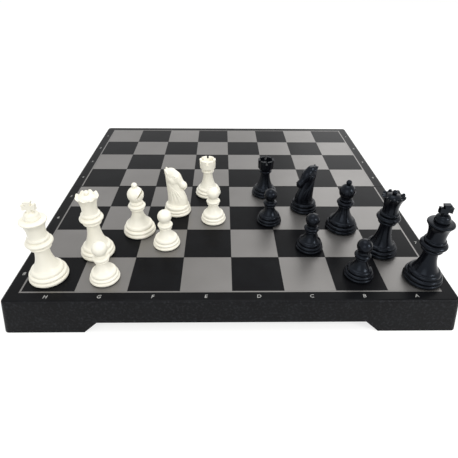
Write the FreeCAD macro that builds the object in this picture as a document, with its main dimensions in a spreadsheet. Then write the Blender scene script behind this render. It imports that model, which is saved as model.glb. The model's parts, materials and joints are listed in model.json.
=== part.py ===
import FreeCAD, Part
import math
import os
import Sketcher
from FreeCAD import Placement, Rotation, Vector

# Folding magnetic chess set, open for play. Millimetres, +Z up.
# The origin is on the table under the middle of the fold. The front half lies at -Y, the rear half at +Y.
doc = FreeCAD.newDocument("folding_chess_set")
dims = doc.addObject("Spreadsheet::Sheet", "dims")
sizes = {
    # Board and case
    "square_pitch": 37,
    "fold_margin": 0.9,
    "case_half": 162,
    "case_top_half": 159,
    "case_height": 27,
    "wall_thick": 2.2,
    "deck_thick": 2.4,
    "top_round": 2,
    "corner_round": 4,
    "seam_clear": 0.2,
    "arch_foot_half": 105,
    "arch_top_half": 95.3,
    "arch_height": 8.6,
    "foot_flat": 14,
    # Hinges
    "hinge_height": 3,
    "hinge_offset": 100,
    "barrel_radius": 2.6,
    "barrel_length": 10,
    "barrel_clear": 0.3,
    "pin_radius": 1,
    "pin_fit": 0.05,
    # Steel sheets and their melted pins
    "sheet_half": 150,
    "sheet_margin": 4,
    "sheet_thick": 0.5,
    "stake_radius": 1.4,
    "stake_cap_radius": 2.8,
    "stake_cap_thick": 1,
    "stake_inner": 38,
    "stake_outer": 120,
    "stake_near": 34,
    "stake_far": 124,
    # Stamped foil
    "foil_thick": 0.06,
    "foil_gap": 0.1,
    "frame_line": 1.2,
    # Parts shared by every man
    "felt_thick": 1,
    "felt_proud": 0.5,
    "felt_inset": 1.6,
    "felt_clear": 0.1,
    "magnet_radius": 6,
    "magnet_thick": 4,
    "magnet_clear": 0.05,
    # Base diameter and height of each kind of man
    "king_dia": 27.8,
    "king_height": 64.4,
    "queen_dia": 26.2,
    "queen_height": 56.4,
    "bishop_dia": 26.8,
    "bishop_height": 46.8,
    "knight_dia": 24.3,
    "knight_height": 43.2,
    "rook_dia": 24.4,
    "rook_height": 37,
    "pawn_dia": 21.8,
    "pawn_height": 32.6,
    # Details of the heads
    "cross_width": 8.6,
    "cross_thick": 3.2,
    "cross_neck": 2.8,
    "queen_notch_radius": 2.1,
    "queen_points": 9,
    "mitre_slit": 1.1,
    "rook_notch": 1.9,
    "rook_notch_depth": 2.6,
    "rook_notches": 6,
    # Where each man stands on the front half, from the middle of the fold
    "white_king_x": -133.6,
    "white_king_y": -132.8,
    "white_queen_x": -105.1,
    "white_queen_y": -105.1,
    "white_bishop_x": -77,
    "white_bishop_y": -76.6,
    "white_knight_x": -47.7,
    "white_knight_y": -45.5,
    "white_knight_turn": -12,
    "white_rook_x": -20.7,
    "white_rook_y": -13.6,
    "white_pawn_1_x": -92.5,
    "white_pawn_1_y": -135.1,
    "white_pawn_2_x": -52.2,
    "white_pawn_2_y": -94.7,
    "white_pawn_3_x": -14.8,
    "white_pawn_3_y": -59.2,
    "black_king_x": 140.2,
    "black_king_y": -136.2,
    "black_queen_x": 119.5,
    "black_queen_y": -104,
    "black_bishop_x": 96.2,
    "black_bishop_y": -71.4,
    "black_knight_x": 68.5,
    "black_knight_y": -41.1,
    "black_knight_turn": 205,
    "black_rook_x": 34.4,
    "black_rook_y": -13.6,
    "black_pawn_1_x": 34.4,
    "black_pawn_1_y": -61.8,
    "black_pawn_2_x": 63.3,
    "black_pawn_2_y": -99.5,
    "black_pawn_3_x": 94,
    "black_pawn_3_y": -132.5,
}
for row, (alias, value) in enumerate(sizes.items(), 1):
    dims.set("A%d" % row, alias)
    dims.set("B%d" % row, str(value))
    dims.setAlias("B%d" % row, alias)
doc.recompute()


def val(alias):
    return float(dims.get(alias))


class Len:
    # A length with its sheet expression beside its present value.
    def __init__(self, text, number):
        self.text = text
        self.number = number

    def __add__(self, other):
        other = as_len(other)
        return Len("(%s + %s)" % (self.text, other.text), self.number + other.number)

    def __sub__(self, other):
        other = as_len(other)
        return Len("(%s - %s)" % (self.text, other.text), self.number - other.number)

    def __mul__(self, factor):
        return Len("(%s * %.6f)" % (self.text, factor), self.number * factor)

    def __neg__(self):
        return Len("(0 - %s)" % self.text, -self.number)

    def over(self, other):
        return Len("(%s / %s)" % (self.text, other.text), self.number / other.number)

    def times(self, other):
        return Len("(%s * %s)" % (self.text, other.text), self.number * other.number)


def as_len(thing):
    if isinstance(thing, Len):
        return thing
    return Len("%.6f" % thing, float(thing))


def dim(alias):
    return Len("dims." + alias, val(alias))


def bind(obj, prop, length):
    obj.setExpression(prop, as_len(length).text)


def plane(body, role):
    for feature in body.Origin.OriginFeatures:
        if feature.Role == role:
            return feature


def new_sketch(body, role, offset=None):
    # The offset runs along the plane's own normal.
    sketch = body.newObject("Sketcher::SketchObject", "Sketch")
    sketch.AttachmentSupport = (plane(body, role), [""])
    sketch.MapMode = "FlatFace"
    if offset is not None:
        offset = as_len(offset)
        sketch.AttachmentOffset = Placement(Vector(0, 0, offset.number), Rotation())
        sketch.setExpression(".AttachmentOffset.Base.z", offset.text)
    return sketch


def pin_point(sketch, geo, pos, across, up):
    # Fixes one point of the sketch by two bound distances from the sketch origin.
    for kind, length, axis in (("DistanceX", as_len(across), -2), ("DistanceY", as_len(up), -1)):
        if abs(length.number) < 1e-9:
            sketch.addConstraint(Sketcher.Constraint("PointOnObject", geo, pos, axis))
        elif length.number > 0:
            n = sketch.addConstraint(Sketcher.Constraint(kind, -1, 1, geo, pos, length.number))
            sketch.setExpression("Constraints[%d]" % n, length.text)
        else:
            n = sketch.addConstraint(Sketcher.Constraint(kind, geo, pos, -1, 1, -length.number))
            sketch.setExpression("Constraints[%d]" % n, (-length).text)


def outline(sketch, start, steps):
    # A closed outline of lines and arcs: a step is (across, up) for a line, (across, up, bulge) for an arc.
    # A bulge is the height of the arc over its chord, to the right of the way of travel.
    # A "ball" arc ends on the upright axis and has its centre there.
    last = start
    ends = []
    for step in steps:
        p = Vector(last[0].number, last[1].number, 0)
        q = Vector(step[0].number, step[1].number, 0)
        if len(step) == 2:
            geo = sketch.addGeometry(Part.LineSegment(p, q), False)
            ends.append((geo, 1, 2))
        else:
            chord = q - p
            side = Vector(chord.y, -chord.x, 0).normalize()
            if step[2] == "ball":
                forward = True
                rise = (q.y ** 2 - p.y ** 2 - p.x ** 2) / (2 * (q.y - p.y))
                radius = q.y - rise
                centre = Vector(0, rise, 0)
            else:
                forward = step[2].number > 0
                bulge = abs(step[2].number)
                radius = chord.Length ** 2 / (8 * bulge) + bulge / 2
                inward = bulge - radius if forward else radius - bulge
                centre = (p + q) * 0.5 + side * inward
            first = math.atan2(p.y - centre.y, p.x - centre.x)
            second = math.atan2(q.y - centre.y, q.x - centre.x)
            whole = Part.Circle(centre, Vector(0, 0, 1), radius)
            if forward:
                geo = sketch.addGeometry(Part.ArcOfCircle(whole, first, second), False)
                ends.append((geo, 1, 2))
            else:
                geo = sketch.addGeometry(Part.ArcOfCircle(whole, second, first), False)
                ends.append((geo, 2, 1))
        last = step
    count = len(ends)
    for i in range(count):
        here = ends[i]
        after = ends[(i + 1) % count]
        sketch.addConstraint(Sketcher.Constraint("Coincident", here[0], here[2], after[0], after[1]))
    last = start
    for i in range(count):
        pin_point(sketch, ends[i][0], ends[i][2], steps[i][0], steps[i][1])
    for i in range(count):
        step = steps[i]
        if len(step) == 3 and step[2] == "ball":
            sketch.addConstraint(Sketcher.Constraint("PointOnObject", ends[i][0], 3, -2))
        elif len(step) == 3:
            run = step[0] - last[0]
            rise = step[1] - last[1]
            bulge = step[2]
            if bulge.number < 0:
                bulge = -bulge
            square = run.times(run) + rise.times(rise)
            radius = square.over(bulge * 8) + bulge * 0.5
            n = sketch.addConstraint(Sketcher.Constraint("Radius", ends[i][0], radius.number))
            sketch.setExpression("Constraints[%d]" % n, radius.text)
        last = step


def polygon(sketch, corners):
    corners = [(as_len(a), as_len(b)) for a, b in corners]
    outline(sketch, corners[-1], corners)


def box_outline(sketch, x0, y0, x1, y1):
    polygon(sketch, [(x0, y0), (x1, y0), (x1, y1), (x0, y1)])


def circle(sketch, across, up, radius):
    across = as_len(across)
    up = as_len(up)
    radius = as_len(radius)
    shape = Part.Circle(Vector(across.number, up.number, 0), Vector(0, 0, 1), radius.number)
    geo = sketch.addGeometry(shape, False)
    n = sketch.addConstraint(Sketcher.Constraint("Radius", geo, radius.number))
    sketch.setExpression("Constraints[%d]" % n, radius.text)
    pin_point(sketch, geo, 3, across, up)


def extrude(body, kind, sketch, length, reverse=False, both=False):
    feature = body.newObject("PartDesign::" + kind, kind)
    feature.Profile = sketch
    feature.Length = as_len(length).number
    bind(feature, "Length", length)
    feature.Reversed = reverse
    if both:
        feature.SideType = "Symmetric"
    sketch.Visibility = False
    return feature


def loft(body, kind, first, second):
    feature = body.newObject("PartDesign::" + kind, kind)
    feature.Profile = first
    feature.Sections = [second]
    feature.Ruled = True
    return feature


def round_edges(body, base, chosen, radius):
    names = []
    for i, edge in enumerate(base.Shape.Edges):
        if chosen(edge):
            names.append("Edge%d" % (i + 1))
    feature = body.newObject("PartDesign::Fillet", "Fillet")
    feature.Base = (base, names)
    feature.Radius = as_len(radius).number
    bind(feature, "Radius", radius)
    return feature


case_half = dim("case_half")
case_top = dim("case_top_half")
height = dim("case_height")
wall = dim("wall_thick")
deck = dim("deck_thick")
seam = dim("seam_clear")
hinge_z = dim("hinge_height")
under_deck = height - deck


def rotate_reach(way, near, far):
    # Two distances from the fold, in rising order along Y for this half.
    if way < 0:
        return -as_len(far), -as_len(near)
    return as_len(near), as_len(far)


def stake_spots(way):
    spots = []
    for x in (-dim("stake_outer"), -dim("stake_inner"), dim("stake_inner"), dim("stake_outer")):
        for y in (dim("stake_near"), dim("stake_far")):
            spots.append((x, y * way))
    return spots


def half_case(label, way):
    # One moulded tray. The way is -1 for the front half and +1 for the rear half.
    body = doc.addObject("PartDesign::Body", label)
    body.Label = label
    foot = new_sketch(body, "XY_Plane")
    y0, y1 = rotate_reach(way, seam, case_half)
    box_outline(foot, -case_half, y0, case_half, y1)
    top = new_sketch(body, "XY_Plane", height)
    y0, y1 = rotate_reach(way, seam, case_top)
    box_outline(top, -case_top, y0, case_top, y1)
    block = loft(body, "AdditiveLoft", top, foot)
    doc.recompute()

    def outer_corner(edge):
        a = edge.Vertexes[0].Point
        b = edge.Vertexes[-1].Point
        return abs(a.z - b.z) > 5 and abs(a.y) > 20

    corners = round_edges(body, block, outer_corner, dim("corner_round"))
    doc.recompute()

    def top_edge(edge):
        box = edge.BoundBox
        return box.ZMin > height.number - 0.01 and max(abs(box.YMin), abs(box.YMax)) > 1

    rounded = round_edges(body, corners, top_edge, dim("top_round"))
    doc.recompute()
    lean = (case_half - case_top).times(under_deck.over(height))
    inner_top = case_half - lean - wall
    foot = new_sketch(body, "XY_Plane")
    y0, y1 = rotate_reach(way, seam + wall, case_half - wall)
    box_outline(foot, -(case_half - wall), y0, case_half - wall, y1)
    top = new_sketch(body, "XY_Plane", under_deck)
    y0, y1 = rotate_reach(way, seam + wall, inner_top)
    box_outline(top, -inner_top, y0, inner_top, y1)
    loft(body, "SubtractiveLoft", top, foot)
    # The rim rises from the outer feet to the hinge, so both rims meet when the case is shut.
    level = case_half - dim("foot_flat")
    rim = new_sketch(body, "YZ_Plane")
    past = as_len(1)
    above = hinge_z.times((level + past).over(level))
    corners = [(-past * way, -past), (level * way, -past), (level * way, as_len(0)), (-past * way, above)]
    if way < 0:
        corners.reverse()
    polygon(rim, corners)
    extrude(body, "Pocket", rim, case_half * 2 + 20, both=True)
    # Finger arch through the outer wall
    slope = (dim("arch_foot_half") - dim("arch_top_half")).over(dim("arch_height"))
    arch = new_sketch(body, "XZ_Plane", (case_half + 2) * (-way))
    foot_half = dim("arch_foot_half") + slope
    top_half = dim("arch_top_half")
    polygon(arch, [(-foot_half, -past), (foot_half, -past), (top_half, dim("arch_height")),
                   (-top_half, dim("arch_height"))])
    extrude(body, "Pocket", arch, wall + 8, reverse=way > 0)
    # Melted pins that hold the steel sheet up under the deck
    posts = new_sketch(body, "XY_Plane", under_deck)
    for x, y in stake_spots(way):
        circle(posts, x, y, dim("stake_radius"))
    extrude(body, "Pad", posts, dim("sheet_thick") + dim("stake_cap_thick"), reverse=True)
    caps = new_sketch(body, "XY_Plane", under_deck - dim("sheet_thick"))
    for x, y in stake_spots(way):
        circle(caps, x, y, dim("stake_cap_radius"))
    extrude(body, "Pad", caps, dim("stake_cap_thick"), reverse=True)
    # Hinge barrels. The front half has the two outer barrels of each station, the rear half the middle one.
    reach = dim("barrel_length")
    gap = dim("barrel_clear")
    for side in (-1, 1):
        middle = dim("hinge_offset") * side
        own = [(middle - reach * 0.5 + gap, reach - gap * 2)]
        other = [(middle - reach * 1.5 - gap, reach + gap * 2), (middle + reach * 0.5 - gap, reach + gap * 2)]
        if way < 0:
            own = [(middle - reach * 1.5, reach), (middle + reach * 0.5, reach)]
            other = [(middle - reach * 0.5, reach)]
        for start, length in other:
            relief = new_sketch(body, "YZ_Plane", start)
            circle(relief, 0, hinge_z, dim("barrel_radius") + gap)
            extrude(body, "Pocket", relief, length, reverse=True)
        for start, length in own:
            barrel = new_sketch(body, "YZ_Plane", start)
            circle(barrel, 0, hinge_z, dim("barrel_radius"))
            extrude(body, "Pad", barrel, length)
        for start, length in own:
            bore = new_sketch(body, "YZ_Plane", start)
            circle(bore, 0, hinge_z, dim("pin_radius") + dim("pin_fit"))
            extrude(body, "Pocket", bore, length, reverse=True)
    return body


def steel_sheet(label, way):
    body = doc.addObject("PartDesign::Body", label)
    body.Label = label
    flat = new_sketch(body, "XY_Plane", under_deck)
    half = dim("sheet_half")
    y0, y1 = rotate_reach(way, dim("sheet_margin"), half)
    box_outline(flat, -half, y0, half, y1)
    for x, y in stake_spots(way):
        circle(flat, x, y, dim("stake_radius") + 0.1)
    extrude(body, "Pad", flat, dim("sheet_thick"), reverse=True)
    return body


def plain_box(name, x, y, z, length, width, thick):
    box = doc.addObject("Part::Box", name)
    bind(box, "Length", length)
    bind(box, "Width", width)
    bind(box, "Height", thick)
    bind(box, ".Placement.Base.x", x)
    bind(box, ".Placement.Base.y", y)
    bind(box, ".Placement.Base.z", z)
    return box


def silver_squares(label, way):
    # Sixteen foil squares and the three runs of the frame line of one half.
    pitch = dim("square_pitch")
    gap = dim("foil_gap")
    thick = dim("foil_thick")
    margin = dim("fold_margin")
    side = pitch - gap * 2
    foils = []
    for across in range(8):
        for away in range(4):
            place = away + 4 if way > 0 else away
            if (across + place) % 2 == 0:
                continue
            x = pitch * (across - 4) + gap
            y = pitch * (place - 4) + margin * way + gap
            foils.append(plain_box("Foil", x, y, height, side, side, thick))
    line = dim("frame_line")
    field = pitch * 4
    y0, y1 = rotate_reach(way, margin, field + margin + line)
    foils.append(plain_box("Foil", -field - line, y0, height, line, y1 - y0, thick))
    foils.append(plain_box("Foil", field, y0, height, line, y1 - y0, thick))
    edge = field + margin
    y0, y1 = rotate_reach(way, edge, edge + line)
    foils.append(plain_box("Foil", -field, y0, height, field * 2, line, thick))
    whole = doc.addObject("Part::MultiFuse", label)
    whole.Label = label
    whole.Shapes = foils
    return whole


def hinge_pins(label):
    pins = []
    for side in (-1, 1):
        pin = doc.addObject("Part::Cylinder", "Pin")
        bind(pin, "Radius", dim("pin_radius"))
        bind(pin, "Height", dim("barrel_length") * 3)
        pin.Placement = Placement(Vector(0, 0, 0), Rotation(Vector(0, 1, 0), 90))
        bind(pin, ".Placement.Base.x", dim("hinge_offset") * side - dim("barrel_length") * 1.5)
        bind(pin, ".Placement.Base.z", hinge_z)
        pins.append(pin)
    group = doc.addObject("Part::Compound", label)
    group.Label = label
    group.Links = pins
    return group


exports = []
exports.append(half_case("front_half_case", -1))
exports.append(half_case("rear_half_case", 1))
exports.append(steel_sheet("front_steel_sheet", -1))
exports.append(steel_sheet("rear_steel_sheet", 1))
exports.append(silver_squares("front_silver_squares", -1))
exports.append(silver_squares("rear_silver_squares", 1))
exports.append(hinge_pins("hinge_pins"))

# Each turned outline is drawn at one base radius and one height and scales with the sheet.
# A step is (radius, height) or (radius, height, bulge), from the outer foot edge up to the axis.
turned = {
    "king": dict(drawn=(13.9, 64.4), core=21.5, steps=[
        (13.4, 3.2, 0.55), (12.7, 3.5), (12.4, 6.3, 0.7), (11.4, 6.6), (9.4, 9.9, 0.9), (9.0, 10.2),
        (5.2, 26.2, -1.2), (6.0, 26.7), (6.2, 29.5, 1.3), (7.1, 30.0), (8.9, 31.0, 0.2), (8.9, 33.2, 0.5),
        (7.1, 34.2, 0.2), (6.7, 34.4), (6.6, 36.8, 0.9), (6.4, 37.1), (6.5, 43.0, -0.2), (8.7, 48.9, -0.4),
        (8.4, 50.6, 0.5), (5.0, 51.0), (4.9, 53.6, 0.4), (2.8, 56.4, 0.6), (0, 56.4)]),
    "queen": dict(drawn=(13.1, 56.4), core=22.0, steps=[
        (12.6, 3.1, 0.5), (12.0, 3.4), (11.7, 6.0, 0.65), (10.8, 6.3), (9.1, 9.3, 0.8), (8.7, 9.6),
        (4.8, 27.4, -1.2), (5.6, 27.9), (5.8, 30.6, 1.2), (6.7, 31.1), (8.4, 32.0, 0.2), (8.4, 34.2, 0.5),
        (6.7, 35.2, 0.2), (6.4, 35.4), (6.3, 37.8, 0.9), (6.0, 38.1), (5.9, 44.0, -0.25), (8.5, 51.6, -0.45),
        (8.3, 52.6), (6.7, 52.6), (5.8, 51.0), (1.3, 53.2, 0.6), (0, 56.4, "ball")]),
    "bishop": dict(drawn=(13.4, 46.8), core=18.0, steps=[
        (12.8, 3.1, 0.55), (12.2, 3.4), (11.9, 6.1, 0.7), (11.0, 6.4), (9.6, 9.7, 0.85), (9.2, 10.0),
        (4.3, 21.6, -1.0), (4.9, 22.0), (5.0, 24.0, 0.9), (5.6, 24.4), (6.7, 25.1, 0.15), (6.7, 26.8, 0.4),
        (5.4, 27.6, 0.15), (4.9, 27.8), (4.7, 29.8, 0.7), (4.4, 30.0), (4.6, 31.2, -0.15), (5.7, 39.4, 1.45),
        (1.6, 42.8, 0.5), (0, 46.8, "ball")]),
    "rook": dict(drawn=(12.2, 37.0), core=19.0, steps=[
        (11.7, 2.8, 0.5), (11.1, 3.1), (10.8, 5.5, 0.6), (9.9, 5.8), (8.2, 8.7, 0.75), (7.8, 9.0),
        (4.3, 23.8, -1.0), (5.1, 24.2), (5.1, 26.2, 0.75), (4.7, 26.6), (4.9, 27.4), (7.3, 28.9, 0.2),
        (7.5, 37.0), (5.5, 37.0), (5.0, 33.6), (0, 33.2)]),
    "pawn": dict(drawn=(10.9, 32.6), core=12.5, steps=[
        (10.4, 2.6, 0.5), (9.8, 2.9), (9.6, 5.1, 0.55), (8.9, 5.4), (7.5, 8.6, 0.8), (7.1, 8.9),
        (3.9, 15.6, -0.55), (4.4, 16.0), (4.5, 17.7, 0.65), (4.9, 18.0), (5.6, 18.6, 0.1), (5.6, 20.2, 0.35),
        (4.6, 20.9, 0.1), (3.9, 21.1), (3.6, 22.9, -0.15), (0, 32.6, "ball")]),
    "knight": dict(drawn=(12.15, 43.2), core=8.2, steps=[
        (11.7, 2.8, 0.5), (11.1, 3.1), (10.8, 5.5, 0.6), (10.2, 5.8), (9.7, 8.9, 0.75), (9.3, 9.2), (0, 9.2)]),
}


def man_sizes(kind):
    # Lengths that scale with the base radius and with the height of this kind of man.
    drawn = turned[kind]["drawn"]
    wide = dim(kind + "_dia") * (0.5 / drawn[0])
    tall = dim(kind + "_height") * (1 / drawn[1])
    return wide, tall


def turned_man(name, kind):
    # The turned body of one man with its felt recess, magnet seat and moulding core.
    body = doc.addObject("PartDesign::Body", name)
    body.Label = name
    wide, tall = man_sizes(kind)
    foot = dim("felt_proud")
    base = dim(kind + "_dia") * 0.5
    sketch = new_sketch(body, "XZ_Plane")
    start = (as_len(0), foot)
    steps = [(base - 0.6, foot)]
    for step in turned[kind]["steps"]:
        scaled = [wide * step[0], tall * step[1]]
        if len(step) == 3:
            scaled.append("ball" if step[2] == "ball" else wide * step[2])
        steps.append(tuple(scaled))
    steps.append(start)
    outline(sketch, start, steps)
    spin = body.newObject("PartDesign::Revolution", "Revolution")
    spin.Profile = sketch
    spin.ReferenceAxis = (sketch, ["V_Axis"])
    spin.Angle = 360
    core = new_sketch(body, "XZ_Plane")
    felt_top = dim("felt_thick")
    felt_edge = base - dim("felt_inset") + dim("felt_clear")
    seat = dim("magnet_radius") + dim("magnet_clear")
    seat_top = felt_top + dim("magnet_thick")
    core_top = tall * turned[kind]["core"]
    polygon(core, [(as_len(0), as_len(0)), (felt_edge, as_len(0)), (felt_edge, felt_top), (seat, felt_top),
                   (seat, seat_top), (wide * 4.6, seat_top), (wide * 2.2, core_top), (as_len(0), core_top)])
    cut = body.newObject("PartDesign::Groove", "Groove")
    cut.Profile = core
    cut.ReferenceAxis = (core, ["V_Axis"])
    cut.Angle = 360
    return body


def polar(body, feature, count):
    pattern = body.newObject("PartDesign::PolarPattern", "PolarPattern")
    pattern.Originals = [feature]
    pattern.Axis = (plane(body, "Z_Axis"), [""])
    pattern.Angle = 360
    bind(pattern, "Occurrences", dim(count))
    body.Tip = pattern
    return pattern


def add_cross(body):
    # Flared cross of four arms over the crown
    wide, tall = man_sizes("king")
    half = dim("cross_width") * 0.5
    neck = dim("cross_neck") * 0.5
    low = tall * 55.8
    high = dim("king_height")
    mid = tall * 60.2
    arm = half * 0.5
    corners = [(-(neck * 1.35), low), (neck * 1.35, low), (neck, mid - neck), (half, mid - arm),
               (half, mid + arm), (neck, mid + neck), (arm * 1.1, high), (-(arm * 1.1), high),
               (-neck, mid + neck), (-half, mid + arm), (-half, mid - arm), (-neck, mid - neck)]
    sketch = new_sketch(body, "XZ_Plane")
    polygon(sketch, corners)
    return extrude(body, "Pad", sketch, dim("cross_thick"), both=True)


def add_points(body):
    # Scalloped coronet
    wide, tall = man_sizes("queen")
    sketch = new_sketch(body, "XZ_Plane", wide * 11)
    circle(sketch, 0, tall * 53.0, dim("queen_notch_radius"))
    notch = extrude(body, "Pocket", sketch, wide * 5.2)
    return polar(body, notch, "queen_points")


def add_slit(body):
    # Slanting slit in one side of the mitre
    wide, tall = man_sizes("bishop")
    half = dim("mitre_slit") * 0.5
    sketch = new_sketch(body, "XZ_Plane")
    polygon(sketch, [(wide * 1.4, tall * 35.6), (wide * 1.4 + half * 2, tall * 35.0),
                     (wide * 8.2 + half * 2, tall * 42.6), (wide * 8.2, tall * 43.2)])
    return extrude(body, "Pocket", sketch, wide * 16, both=True)


def add_battlements(body):
    wide, tall = man_sizes("rook")
    half = dim("rook_notch") * 0.5
    low = dim("rook_height") - dim("rook_notch_depth")
    sketch = new_sketch(body, "XZ_Plane", wide * 10)
    box_outline(sketch, -half, low, half, dim("rook_height") + 1)
    notch = extrude(body, "Pocket", sketch, wide * 7)
    return polar(body, notch, "rook_notches")


def ellipse(name, across, up, long_half, wide_half, tilt, aside=None):
    # A section of the horse, long in its own plane of symmetry and wide across it.
    ring = doc.addObject("Part::Ellipse", name)
    long_half = as_len(long_half)
    wide_half = as_len(wide_half)
    turn = Rotation(Vector(0, 1, 0), tilt)
    if wide_half.number > long_half.number:
        long_half, wide_half = wide_half, long_half
        turn = turn.multiply(Rotation(Vector(0, 0, 1), 90))
    ring.Placement = Placement(Vector(0, 0, 0), turn)
    bind(ring, "MajorRadius", long_half)
    bind(ring, "MinorRadius", wide_half)
    bind(ring, ".Placement.Base.x", across)
    if aside is not None:
        bind(ring, ".Placement.Base.y", aside)
    bind(ring, ".Placement.Base.z", up)
    ring.Visibility = False
    return ring


def skin(name, rings):
    feature = doc.addObject("Part::Loft", name)
    feature.Sections = rings
    feature.Solid = True
    feature.Ruled = False
    return feature


# The horse of the knight, muzzle towards +X, drawn at the nominal size.
# Neck and mane rows: height, back, front, half width.
# Head rows: distance from the poll, half depth, half width.
neck_rows = [(8.4, -9.2, 9.8, 7.4), (12, -7.8, 9.8, 6.3), (16, -7.4, 9.0, 5.7), (20, -7.4, 7.5, 5.2),
             (25, -7.6, 5.4, 4.8), (30, -8.0, 4.0, 4.6), (35, -8.6, 3.0, 4.4), (39, -8.9, 1.9, 3.9),
             (41.8, -8.0, 0.4, 2.9), (43.2, -6.0, -1.6, 1.6)]
mane_rows = [(10.5, -8.4, -4.8, 2.4), (16, -8.3, -4.2, 2.3), (24, -8.6, -4.0, 2.2), (32, -9.1, -4.4, 2.1),
             (38, -9.7, -4.8, 1.9), (41.2, -9.6, -5.2, 1.4), (42.6, -8.6, -5.8, 0.8)]
head_rows = [(0, 4.8, 3.7), (4.5, 5.3, 4.7), (9, 4.4, 4.3), (12.5, 3.4, 3.3), (15, 3.8, 3.3), (17.2, 3.2, 2.8),
             (18.6, 1.7, 1.6)]
head_from = (-3.5, 39.0)
head_fall = 49.0


def rows_skin(name, rows, wide, tall):
    rings = []
    for up, back, front, half in rows:
        middle = wide * ((back + front) / 2)
        deep = wide * ((front - back) / 2)
        rings.append(ellipse(name + "Ring", middle, tall * up, deep, wide * half, 0))
    return skin(name, rings)


def knight_man(name):
    wide, tall = man_sizes("knight")
    base = turned_man(name + "_foot", "knight")
    neck = rows_skin("Neck", neck_rows, wide, tall)
    mane = rows_skin("Mane", mane_rows, wide, tall)
    rings = []
    fall = math.radians(head_fall)
    for along, deep, half in head_rows:
        across = head_from[0] + along * math.cos(fall)
        up = head_from[1] - along * math.sin(fall)
        tilt = 180 - head_fall
        rings.append(ellipse("HeadRing", wide * across, tall * up, wide * deep, wide * half, tilt))
    head = skin("Head", rings)
    adds = [base, neck, mane, head]
    for side in (-1, 1):
        ear = doc.addObject("Part::Cone", "Ear")
        bind(ear, "Radius1", wide * 1.9)
        bind(ear, "Radius2", wide * 0.5)
        bind(ear, "Height", wide * 5.2)
        ear.Placement = Placement(Vector(0, 0, 0), Rotation(Vector(0, 1, 0), -42))
        bind(ear, ".Placement.Base.x", wide * -5.6)
        bind(ear, ".Placement.Base.y", wide * (2.1 * side))
        bind(ear, ".Placement.Base.z", tall * 38.9)
        adds.append(ear)
    solid = doc.addObject("Part::MultiFuse", name + "_solid")
    solid.Shapes = adds
    mouth = doc.addObject("Part::Box", "Mouth")
    bind(mouth, "Length", wide * 5)
    bind(mouth, "Width", wide * 12)
    bind(mouth, "Height", wide * 0.55)
    mouth.Placement = Placement(Vector(0, 0, 0), Rotation(Vector(0, 1, 0), head_fall - 16))
    bind(mouth, ".Placement.Base.x", wide * 5.6)
    bind(mouth, ".Placement.Base.y", wide * -6)
    bind(mouth, ".Placement.Base.z", tall * 27.0)
    whole = doc.addObject("Part::Cut", name)
    whole.Label = name
    whole.Base = solid
    whole.Tool = mouth
    return whole


def stand(obj, name, turn=0):
    obj.Placement = Placement(Vector(0, 0, 0), Rotation(Vector(0, 0, 1), turn))
    bind(obj, ".Placement.Base.x", dim(name + "_x"))
    bind(obj, ".Placement.Base.y", dim(name + "_y"))
    bind(obj, ".Placement.Base.z", height + dim("foil_thick"))


def disc(label, name, kind):
    # Felt pad or magnet of one man
    part = doc.addObject("Part::Cylinder", label)
    part.Label = label
    low = height + dim("foil_thick")
    if label.endswith("_felt"):
        bind(part, "Radius", dim(kind + "_dia") * 0.5 - dim("felt_inset"))
        bind(part, "Height", dim("felt_thick"))
    else:
        bind(part, "Radius", dim("magnet_radius"))
        bind(part, "Height", dim("magnet_thick"))
        low = low + dim("felt_thick")
    bind(part, ".Placement.Base.x", dim(name + "_x"))
    bind(part, ".Placement.Base.y", dim(name + "_y"))
    bind(part, ".Placement.Base.z", low)
    return part


finish = {"king": add_cross, "queen": add_points, "bishop": add_slit, "rook": add_battlements}
for colour in ("white", "black"):
    for man in ("king", "queen", "bishop", "knight", "rook", "pawn_1", "pawn_2", "pawn_3"):
        kind = man.split("_")[0]
        name = colour + "_" + man
        turn = 0
        if kind == "knight":
            body = knight_man(name)
            turn = val(name + "_turn")
        else:
            body = turned_man(name, kind)
            if kind in finish:
                finish[kind](body)
        stand(body, name, turn)
        exports.append(body)
        exports.append(disc(name + "_magnet", name, kind))
        exports.append(disc(name + "_felt", name, kind))

doc.recompute()

problems = []
for obj in doc.Objects:
    if "Invalid" in obj.State or "Error" in obj.State:
        problems.append("%s %s %s" % (obj.Name, obj.Label, obj.State))
for obj in exports:
    if obj.Shape.isNull() or not obj.Shape.isValid() or not obj.Shape.Solids:
        problems.append("%s has no valid solid" % obj.Label)
if problems:
    raise RuntimeError("; ".join(problems))

os.makedirs("parts", exist_ok=True)
for obj in exports:
    obj.Shape.exportStep("parts/%s.step" % obj.Label)
    box = obj.Shape.BoundBox
    print("%s solids %d volume %.1f z %.2f to %.2f" % (obj.Label, len(obj.Shape.Solids), obj.Shape.Volume,
                                                       box.ZMin, box.ZMax))
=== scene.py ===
import json
import math
import bmesh
import bpy
from mathutils import Matrix, Vector
from mathutils.bvhtree import BVHTree


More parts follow.
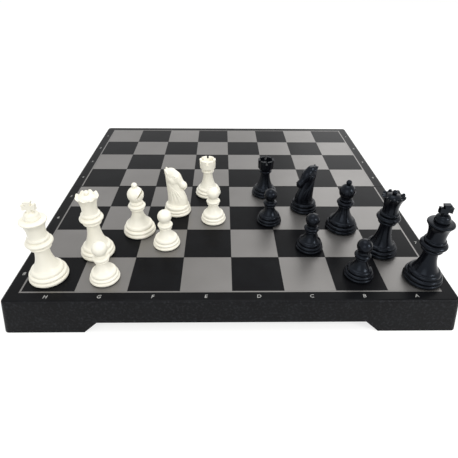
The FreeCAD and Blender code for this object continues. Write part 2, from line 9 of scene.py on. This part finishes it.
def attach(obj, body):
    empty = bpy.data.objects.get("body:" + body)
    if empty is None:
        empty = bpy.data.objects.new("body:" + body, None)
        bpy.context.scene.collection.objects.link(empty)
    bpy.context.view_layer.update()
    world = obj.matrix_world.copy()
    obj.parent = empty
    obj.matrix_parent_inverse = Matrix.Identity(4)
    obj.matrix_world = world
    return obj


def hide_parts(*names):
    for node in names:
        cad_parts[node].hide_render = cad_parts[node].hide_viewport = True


# Folding magnetic chess set, open for play, with some of the men set out on its front half
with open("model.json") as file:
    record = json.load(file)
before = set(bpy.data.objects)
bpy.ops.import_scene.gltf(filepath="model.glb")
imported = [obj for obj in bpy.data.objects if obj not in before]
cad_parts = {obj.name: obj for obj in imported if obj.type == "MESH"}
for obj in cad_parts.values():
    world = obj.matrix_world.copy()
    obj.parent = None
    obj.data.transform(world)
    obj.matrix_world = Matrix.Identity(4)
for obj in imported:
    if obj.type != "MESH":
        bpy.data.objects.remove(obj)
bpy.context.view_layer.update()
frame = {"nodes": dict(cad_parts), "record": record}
mm = 0.001
print("frame:", len(frame["nodes"]), "nodes")


def linear(hexColour):
    parts = []
    for i in (0, 2, 4):
        c = int(hexColour[i:i + 2], 16) / 255
        parts.append(c / 12.92 if c <= 0.04045 else ((c + 0.055) / 1.055) ** 2.4)
    return (*parts, 1)


def setInputs(tree, node, inputs):
    for name, value in inputs.items():
        if isinstance(value, bpy.types.NodeSocket):
            tree.links.new(value, node.inputs[name])
        else:
            node.inputs[name].default_value = value


def addNode(tree, kind, settings=None, inputs=None):
    node = tree.nodes.new(kind)
    for name, value in (settings or {}).items():
        setattr(node, name, value)
    setInputs(tree, node, inputs or {})
    return node


def startMaterial(name):
    material = bpy.data.materials.new(name)
    material.use_nodes = True
    tree = material.node_tree
    tree.nodes.clear()
    shader = addNode(tree, "ShaderNodeBsdfPrincipled")
    addNode(tree, "ShaderNodeOutputMaterial", inputs={"Surface": shader.outputs[0]})
    place = addNode(tree, "ShaderNodeTexCoord").outputs["Object"]
    return material, tree, shader, place


def mottle(tree, place, sizeMm, detail, roughness=0.5):
    noise = addNode(tree, "ShaderNodeTexNoise", inputs={
        "Vector": place, "Scale": 1 / (sizeMm * mm), "Detail": detail, "Roughness": roughness})
    return noise.outputs["Fac"]


def toneRamp(tree, value, low, high, ends=(0, 1)):
    ramp = addNode(tree, "ShaderNodeValToRGB", inputs={"Fac": value})
    for stop, colour, at in zip(ramp.color_ramp.elements, (low, high), ends):
        stop.position = at
        stop.color = linear(colour)
    return ramp.outputs["Color"]


def relief(tree, height, strength, deepMm):
    bump = addNode(tree, "ShaderNodeBump", inputs={
        "Height": height, "Strength": strength, "Distance": deepMm * mm})
    return bump.outputs["Normal"]


# Black ABS, injection moulded: the playing deck from a polished tool, the walls from a spark-eroded one. The
# walls' lighter flecks are painted highlights: the glints of that grain, painted into their colour
caseFinish = {"colour": "0d0d0f", "cloud": "111214", "cloudMm": 14, "cloudEnds": (0.35, 0.7),
              "paintedGlint": "2c2d31", "paintedGlintEnds": (0.5, 0.72), "grainMm": 1.6, "grainDeepMm": 0.12, "ior": 1.53,
              "wall": {"roughness": 0.46, "shine": 0.1, "grain": 0.8, "paintedGlint": 0.5}, "wallBelow": 0.8,
              "deck": {"roughness": 0.3, "shine": 0.054, "grain": 0.06, "paintedGlint": 0.0}, "deckAbove": 0.98}


def mouldedCaseAbs():
    f = caseFinish
    material, tree, shader, place = startMaterial("moulded black ABS case")
    facing = addNode(tree, "ShaderNodeTexCoord").outputs["Normal"]
    upward = addNode(tree, "ShaderNodeSeparateXYZ", inputs={0: facing}).outputs["Z"]

    def between(key):
        return addNode(tree, "ShaderNodeMapRange", inputs={
            "Value": upward, "From Min": f["wallBelow"], "From Max": f["deckAbove"],
            "To Min": f["wall"][key], "To Max": f["deck"][key]}).outputs["Result"]

    cloud = mottle(tree, place, f["cloudMm"], 4, 0.6)
    tone = toneRamp(tree, cloud, f["colour"], f["cloud"], f["cloudEnds"])
    grain = mottle(tree, place, f["grainMm"], 2)  # real grain is about 0.2 mm, drawn coarser to show
    # Lighter flecks where the grain is high, on the walls only and none on the deck: painted highlights
    # standing in for the glints of the spark-eroded surface
    paintedGlintLow, paintedGlintHigh = f["paintedGlintEnds"]
    high = addNode(tree, "ShaderNodeMapRange", inputs={
        "Value": grain, "From Min": paintedGlintLow, "From Max": paintedGlintHigh, "To Max": between("paintedGlint")})
    glintPaintedTone = addNode(tree, "ShaderNodeMix", {"data_type": "RGBA"}, {
        "Factor": high.outputs["Result"], 6: tone, 7: linear(f["paintedGlint"])})  # 6 and 7 are its two colours
    setInputs(tree, shader, {
        "Base Color": glintPaintedTone.outputs[2], "Normal": relief(tree, grain, between("grain"), f["grainDeepMm"]),
        "Roughness": between("roughness"), "Specular IOR Level": between("shine"), "IOR": f["ior"]})
    return material


# Aluminium foil, hot stamped on the plastic: a soft grey metal sheen, with a fine pebble from below
foilFinish = {"colour": "82807e", "thin": "777573", "patchMm": 60, "patchEnds": (0.3, 0.7), "pebbleMm": 1.5,
              "pebbleDeepMm": 0.03, "pebble": 0.3, "metal": 0.8, "roughness": 0.4}


def stampedFoil():
    f = foilFinish
    material, tree, shader, place = startMaterial("hot stamped aluminium foil")
    patch = mottle(tree, place, f["patchMm"], 3)
    pebble = mottle(tree, place, f["pebbleMm"], 2)
    setInputs(tree, shader, {
        "Base Color": toneRamp(tree, patch, f["thin"], f["colour"], f["patchEnds"]),
        "Normal": relief(tree, pebble, f["pebble"], f["pebbleDeepMm"]),
        "Metallic": f["metal"], "Roughness": f["roughness"]})
    return material


# Cold rolled steel sheet, bare: grey metal with faint streaks along the way it was rolled
steelFinish = {"colour": "8f9194", "streak": "7d7f82", "streakMm": 1.6, "stretch": 30, "roughness": 0.38}


def rolledSteel():
    f = steelFinish
    material, tree, shader, place = startMaterial("cold rolled steel sheet")
    along = addNode(tree, "ShaderNodeMapping", inputs={"Vector": place, "Scale": (1 / f["stretch"], 1, 1)})
    streak = mottle(tree, along.outputs[0], f["streakMm"], 3)
    setInputs(tree, shader, {
        "Base Color": toneRamp(tree, streak, f["streak"], f["colour"]),
        "Metallic": 1, "Roughness": f["roughness"]})
    return material


# Drawn steel wire for the pins: bright, with fine lines round it from the die
wireFinish = {"colour": "a3a5a8", "lineMm": 0.4, "lineDeepMm": 0.01, "line": 0.2, "roughness": 0.28}


def drawnWire():
    f = wireFinish
    material, tree, shader, place = startMaterial("drawn steel wire")
    lines = mottle(tree, place, f["lineMm"], 1)
    setInputs(tree, shader, {
        "Base Color": linear(f["colour"]), "Normal": relief(tree, lines, f["line"], f["lineDeepMm"]),
        "Metallic": 1, "Roughness": f["roughness"]})
    return material


# Polystyrene men, moulded in polished tools: ivory white or black, glossy, with slight flow marks
ivoryFinish = {"name": "moulded ivory polystyrene", "colour": "f1eee1", "flow": "ebe7d8", "roughness": 0.33,
               "shine": 0.4, "sheen": "ffffff"}
ebonyFinish = {"name": "moulded black polystyrene", "colour": "08090c", "flow": "0b0c10", "roughness": 0.24,
               "shine": 0.16, "sheen": "d3e2f7"}
manMarks = {"flowMm": 11, "waveMm": 5, "waveDeepMm": 0.03, "wave": 0.15, "ior": 1.55}


def mouldedMan(f):
    m = manMarks
    material, tree, shader, place = startMaterial(f["name"])
    flow = mottle(tree, place, m["flowMm"], 2)
    wave = mottle(tree, place, m["waveMm"], 1)
    setInputs(tree, shader, {
        "Base Color": toneRamp(tree, flow, f["flow"], f["colour"]),
        "Normal": relief(tree, wave, m["wave"], m["waveDeepMm"]), "IOR": m["ior"],
        "Roughness": f["roughness"], "Specular IOR Level": f["shine"], "Specular Tint": linear(f["sheen"])})
    return material


# Pressed wool felt under the men: matt, dark green, with short fibres
feltFinish = {"colour": "1f3a2b", "light": "2c4d3a", "fibreMm": 0.7, "fibreDeepMm": 0.15, "fibre": 0.6,
              "fuzz": 0.3, "roughness": 0.95}


def pressedFelt():
    f = feltFinish
    material, tree, shader, place = startMaterial("pressed wool felt")
    fibre = mottle(tree, place, f["fibreMm"], 5, 0.7)
    setInputs(tree, shader, {
        "Base Color": toneRamp(tree, fibre, f["colour"], f["light"]),
        "Normal": relief(tree, fibre, f["fibre"], f["fibreDeepMm"]),
        "Roughness": f["roughness"], "Sheen Weight": f["fuzz"]})
    return material


# Sintered ferrite for the magnets: dark grey, dull and slightly gritty
ferriteFinish = {"colour": "2b2b2d", "grit": "3a3a3c", "gritMm": 0.6, "roughness": 0.62}


def sinteredFerrite():
    f = ferriteFinish
    material, tree, shader, place = startMaterial("sintered ferrite")
    grit = mottle(tree, place, f["gritMm"], 3)
    setInputs(tree, shader, {
        "Base Color": toneRamp(tree, grit, f["colour"], f["grit"]), "Roughness": f["roughness"]})
    return material


# Pad printed ink for the letters and numbers: pale grey, matt, a little thin in places
inkFinish = {"colour": "a3a3a0", "thin": "80807e", "patchMm": 1.2, "patchEnds": (0.3, 0.6), "roughness": 0.55}


def padPrintInk():
    f = inkFinish
    material, tree, shader, place = startMaterial("pad printed pale ink")
    patch = mottle(tree, place, f["patchMm"], 2)
    setInputs(tree, shader, {
        "Base Color": toneRamp(tree, patch, f["thin"], f["colour"], f["patchEnds"]),
        "Roughness": f["roughness"]})
    return material


finishes = {
    "case_plastic": mouldedCaseAbs(),
    "silver_foil": stampedFoil(),
    "steel_sheet": rolledSteel(),
    "pin_steel": drawnWire(),
    "white_plastic": mouldedMan(ivoryFinish),
    "black_plastic": mouldedMan(ebonyFinish),
    "felt": pressedFelt(),
    "magnet": sinteredFerrite(),
}
ink = padPrintInk()
print("finishes:", len(finishes) + 1)


def paint(obj, material):
    obj.data.materials.clear()
    obj.data.materials.append(material)


slots = {part["node"]: part["material_slot"] for part in frame["record"]["subparts"]}
bodyOf = {}
for bodyName, members in frame["record"]["behaviour"]["bodies"].items():
    for member in members:
        bodyOf[member] = bodyName
for name, node in frame["nodes"].items():
    paint(node, finishes[slots[name]])

# Moulded pieces take smooth shading on a merged copy of their solid, with crisp edges and flat faces kept
smoothing = {"mergeMm": 0.002, "edgeAngle": 32, "flatAbove": 0.99999}


def smoothCopy(name):
    bm = bmesh.new()
    bm.from_mesh(frame["nodes"][name].data)
    bmesh.ops.remove_doubles(bm, verts=bm.verts, dist=smoothing["mergeMm"] * mm)
    bm.normal_update()
    bm.verts.index_update()
    level = (0, 1, 2) if slots[name] == "case_plastic" else (2,)
    curved = [max(abs(face.normal[i]) for i in level) < smoothing["flatAbove"] for face in bm.faces]
    mesh = bpy.data.meshes.new(name + "_smooth")
    mesh.from_pydata([v.co for v in bm.verts], [], [[v.index for v in face.verts] for face in bm.faces])
    bm.free()
    mesh.set_sharp_from_angle(angle=math.radians(smoothing["edgeAngle"]))
    mesh.polygons.foreach_set("use_smooth", curved)
    obj = bpy.data.objects.new(name + "_smooth", mesh)
    bpy.context.collection.objects.link(obj)
    paint(obj, finishes[slots[name]])
    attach(obj, bodyOf[name])
    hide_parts(name)
    return obj


moulded = ("white_plastic", "black_plastic", "case_plastic")
smoothNodes = [name for name in frame["nodes"] if slots[name] in moulded]
for name in smoothNodes:
    smoothCopy(name)
print("smooth pieces:", len(smoothNodes))

# Carving on the knights, in the horse's own axes with the muzzle towards +x: locks of the mane run from the
# first point to the second, and knobs for brow, eye, cheek and nostril sit on the skin
carving = {
    "stands": {"white_knight": {"atMm": (-47.7, -45.5), "turn": -12},
               "black_knight": {"atMm": (68.5, -41.1), "turn": 205}},
    "baseMm": 27.06,
    "locks": [{"from": (-7.2, 29.0), "to": (-5.6, 11.6), "wideMm": 0.85},
              {"from": (-5.6, 30.0), "to": (-2.4, 11.2), "wideMm": 1.0},
              {"from": (-4.2, 29.0), "to": (0.9, 11.4), "wideMm": 1.0},
              {"from": (-2.8, 27.6), "to": (4.2, 12.6), "wideMm": 0.95},
              {"from": (-1.4, 26.0), "to": (6.4, 15.0), "wideMm": 0.8},
              {"from": (-8.0, 38.6), "to": (-6.6, 30.4), "wideMm": 0.8},
              {"from": (-6.2, 37.6), "to": (-5.0, 31.0), "wideMm": 0.75}],
    "knobs": [{"name": "brow", "at": (1.2, 37.4), "sizeMm": (1.9, 0.75, 0.7), "tilt": -30},
              {"name": "eye", "at": (1.5, 35.9), "sizeMm": (1.15, 0.8, 0.7), "tilt": -40},
              {"name": "cheek", "at": (-1.6, 33.0), "sizeMm": (3.3, 2.6, 0.8), "tilt": -49},
              {"name": "nostril", "at": (8.2, 28.0), "sizeMm": (0.9, 0.6, 0.5), "tilt": -60}],
    "bow": 0.8, "sink": 0.35, "rings": 14, "sides": 10, "tip": 0.12, "lead": 0.03, "fullness": 0.7,
    "knobSegments": (24, 14), "asideMm": 30}


def addLock(bm, onSkin, lock, side):
    c = carving
    spots = []
    for i in range(c["rings"]):
        t = i / (c["rings"] - 1)
        x = lock["from"][0] + (lock["to"][0] - lock["from"][0]) * t + c["bow"] * math.sin(math.pi * t)
        z = lock["from"][1] + (lock["to"][1] - lock["from"][1]) * t
        spots.append(onSkin(x, z, side))
    loops = []
    for i, (spot, out) in enumerate(spots):
        along = (spots[min(i + 1, len(spots) - 1)][0] - spots[max(i - 1, 0)][0]).normalized()
        across = along.cross(out).normalized()
        t = c["lead"] + (1 - 2 * c["lead"]) * i / (len(spots) - 1)
        swell = math.sin(math.pi * t) ** c["fullness"]  # thin at both ends
        radius = lock["wideMm"] * mm * (c["tip"] + (1 - c["tip"]) * swell)
        centre = spot - out * radius * c["sink"]
        loop = []
        for k in range(c["sides"]):
            angle = 2 * math.pi * k / c["sides"]
            loop.append(bm.verts.new(centre + (across * math.cos(angle) + out * math.sin(angle)) * radius))
        loops.append(loop)
    for low, high in zip(loops, loops[1:]):
        for k in range(c["sides"]):
            n = (k + 1) % c["sides"]
            bm.faces.new((low[k], low[n], high[n], high[k]))
    bm.faces.new(loops[0])
    bm.faces.new(loops[-1])


def addKnob(bm, onSkin, knob, side, place):
    spot, out = onSkin(knob["at"][0], knob["at"][1], side)
    tilt = math.radians(knob["tilt"])
    along = place.to_3x3() @ Vector((math.cos(tilt), 0, math.sin(tilt)))
    across = out.cross(along).normalized()
    along = across.cross(out).normalized()
    turn = Matrix((along, across, out)).transposed().to_4x4()
    size = Matrix.Diagonal((*[v * mm for v in knob["sizeMm"]], 1))
    around, upright = carving["knobSegments"]
    bmesh.ops.create_uvsphere(bm, u_segments=around, v_segments=upright, radius=1,
                              matrix=Matrix.Translation(spot) @ turn @ size)


for name, stand in carving["stands"].items():
    skin = frame["nodes"][name].data
    tree = BVHTree.FromPolygons([v.co for v in skin.vertices], [p.vertices for p in skin.polygons])
    place = (Matrix.Translation((stand["atMm"][0] * mm, stand["atMm"][1] * mm, carving["baseMm"] * mm))
             @ Matrix.Rotation(math.radians(stand["turn"]), 4, "Z"))

    def onSkin(x, z, side):
        start = place @ Vector((x * mm, side * carving["asideMm"] * mm, z * mm))
        inward = place.to_3x3() @ Vector((0, -side, 0))
        spot, out, index, distance = tree.ray_cast(start, inward)
        return spot, out

    bm = bmesh.new()
    for side in (-1, 1):
        for lock in carving["locks"]:
            addLock(bm, onSkin, lock, side)
        for knob in carving["knobs"]:
            addKnob(bm, onSkin, knob, side, place)
    bmesh.ops.recalc_face_normals(bm, faces=bm.faces)
    for face in bm.faces:
        face.smooth = True
    mesh = bpy.data.meshes.new(name + "_carving")
    bm.to_mesh(mesh)
    bm.free()
    carved = bpy.data.objects.new(name + "_carving", mesh)
    bpy.context.collection.objects.link(carved)
    paint(carved, finishes[slots[name]])
    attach(carved, bodyOf[name])
print("knights carved:", len(carving["stands"]))

# Letters along the near border and numbers up both sides, printed on the case
printing = {"heightMm": 3.1, "thickMm": 0.02, "boldMm": 0.06, "slant": 0.12, "deckMm": 27.0,
            "pitchMm": 37.0, "foldMm": 0.9, "letterRowMm": 154.1, "numberColumnMm": 153.4,
            "letters": "HGFEDCBA", "numbers": "87654321",
            "capShare": 0.73}


def printMark(text, x, y, bodyName, label):
    p = printing
    curve = bpy.data.curves.new(label, "FONT")
    curve.body = text
    curve.size = p["heightMm"] / p["capShare"] * mm
    curve.offset = p["boldMm"] * mm
    curve.shear = p["slant"]
    curve.align_x = "CENTER"
    curve.align_y = "CENTER"
    curve.extrude = p["thickMm"] / 2 * mm
    flat = bpy.data.objects.new(label, curve)
    bpy.context.collection.objects.link(flat)
    bpy.context.view_layer.update()
    mesh = bpy.data.meshes.new_from_object(flat)
    mesh.name = label
    bpy.data.objects.remove(flat)
    mesh.transform(Matrix.Translation((x * mm, y * mm, (p["deckMm"] + p["thickMm"] / 2) * mm)))
    obj = bpy.data.objects.new(label, mesh)
    bpy.context.collection.objects.link(obj)
    paint(obj, ink)
    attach(obj, bodyName)
    return obj


for i, letter in enumerate(printing["letters"]):
    x = (i - (len(printing["letters"]) - 1) / 2) * printing["pitchMm"]
    printMark(letter, x, -printing["letterRowMm"], "front_half", "letter_" + letter)
for i, number in enumerate(printing["numbers"]):
    y = (i - (len(printing["numbers"]) - 1) / 2) * printing["pitchMm"]
    y += printing["foldMm"] if y > 0 else -printing["foldMm"]
    half = "rear_half" if y > 0 else "front_half"
    for side, sideName in ((-1, "left"), (1, "right")):
        printMark(number, side * printing["numberColumnMm"], y, half, "number_" + sideName + "_" + number)
print("marks:", len(printing["letters"]) + 2 * len(printing["numbers"]))

# Floor: white paper that keeps the shadow, lifted to white where the camera sees it
studio = {"floorM": 2.0, "floorColour": "a4a4a2", "floorLift": 0.7, "skyLight": 0.84}


def paperFloor():
    material = bpy.data.materials.new("white paper sweep")
    material.use_nodes = True
    tree = material.node_tree
    tree.nodes.clear()
    path = addNode(tree, "ShaderNodeLightPath").outputs
    seen = addNode(tree, "ShaderNodeMath", {"operation": "MAXIMUM"},
                   {0: path["Is Camera Ray"], 1: path["Is Glossy Ray"]})
    lift = addNode(tree, "ShaderNodeMath", {"operation": "MULTIPLY"},
                   {0: seen.outputs[0], 1: studio["floorLift"]})
    matt = addNode(tree, "ShaderNodeBsdfDiffuse", inputs={"Color": linear(studio["floorColour"])})
    glow = addNode(tree, "ShaderNodeEmission", inputs={"Color": (1, 1, 1, 1), "Strength": lift.outputs[0]})
    both = addNode(tree, "ShaderNodeAddShader", inputs={0: matt.outputs[0], 1: glow.outputs[0]})
    addNode(tree, "ShaderNodeOutputMaterial", inputs={"Surface": both.outputs[0]})
    return material


bm = bmesh.new()
bmesh.ops.create_grid(bm, x_segments=1, y_segments=1, size=studio["floorM"])
floorMesh = bpy.data.meshes.new("floor")
bm.to_mesh(floorMesh)
bm.free()
floor = bpy.data.objects.new("floor", floorMesh)
bpy.context.collection.objects.link(floor)
paint(floor, paperFloor())

world = bpy.data.worlds.new("white studio")
bpy.context.scene.world = world
world.use_nodes = True
world.node_tree.nodes.clear()
path = addNode(world.node_tree, "ShaderNodeLightPath").outputs
seen = addNode(world.node_tree, "ShaderNodeMath", {"operation": "MAXIMUM"},
               {0: path["Is Camera Ray"], 1: path["Is Glossy Ray"]})
seen = addNode(world.node_tree, "ShaderNodeMath", {"operation": "MAXIMUM"},
               {0: seen.outputs[0], 1: path["Is Transmission Ray"]})
level = addNode(world.node_tree, "ShaderNodeMapRange", inputs={
    "Value": seen.outputs[0], "To Min": studio["skyLight"], "To Max": 1})
sky = addNode(world.node_tree, "ShaderNodeBackground", inputs={
    "Color": (1, 1, 1, 1), "Strength": level.outputs[0]})
addNode(world.node_tree, "ShaderNodeOutputWorld", inputs={"Surface": sky.outputs[0]})

# Soft boxes, all turned to the middle of the board: where each stands, how wide it is and its power
softBoxes = {
    "key": {"at": (0.72, -0.62, 0.5), "wide": 0.28, "watts": 3.3},
    "fill": {"at": (-0.5, -1.3, 0.7), "wide": 0.9, "watts": 4.7},
    "rim": {"at": (0.62, 1.0, 0.6), "wide": 0.8, "watts": 2.25},
    "top": {"at": (0.0, 0.1, 1.6), "wide": 0.9, "watts": 7},
}
for name, box in softBoxes.items():
    lamp = bpy.data.lights.new(name, "AREA")
    lamp.size = box["wide"]
    lamp.energy = box["watts"]
    lampObject = bpy.data.objects.new(name, lamp)
    lampObject.location = box["at"]
    lampObject.rotation_euler = (-Vector(box["at"])).to_track_quat("-Z", "Y").to_euler()
    bpy.context.collection.objects.link(lampObject)
print("studio: floor, sky and", len(softBoxes), "soft boxes")

# Camera: solved from the corners of the squares and the upright men
shot = {"atMm": (-7.64, -355.43, 229.69), "pitch": 32.955, "yaw": 1.276, "roll": 0.722,
        "focalPx": 401.3, "imagePx": 458, "middlePx": (229.0, 209.4), "sensorMm": 36, "clipM": (0.01, 50)}
camera = bpy.data.cameras.new("camera")
camera.sensor_width = shot["sensorMm"]
camera.lens = shot["focalPx"] / shot["imagePx"] * shot["sensorMm"]
camera.shift_x = (shot["imagePx"] / 2 - shot["middlePx"][0]) / shot["imagePx"]
camera.shift_y = (shot["middlePx"][1] - shot["imagePx"] / 2) / shot["imagePx"]
camera.clip_start, camera.clip_end = shot["clipM"]
cameraObject = bpy.data.objects.new("camera", camera)
turn = (Matrix.Rotation(math.radians(-shot["yaw"]), 4, "Z")
        @ Matrix.Rotation(math.radians(90 - shot["pitch"]), 4, "X")
        @ Matrix.Rotation(math.radians(shot["roll"]), 4, "Z"))
cameraObject.matrix_world = Matrix.Translation(Vector(shot["atMm"]) * mm) @ turn
bpy.context.collection.objects.link(cameraObject)
bpy.context.scene.camera = cameraObject
bpy.context.scene.view_settings.view_transform = "Standard"
print("camera: lens", round(camera.lens, 2), "mm")
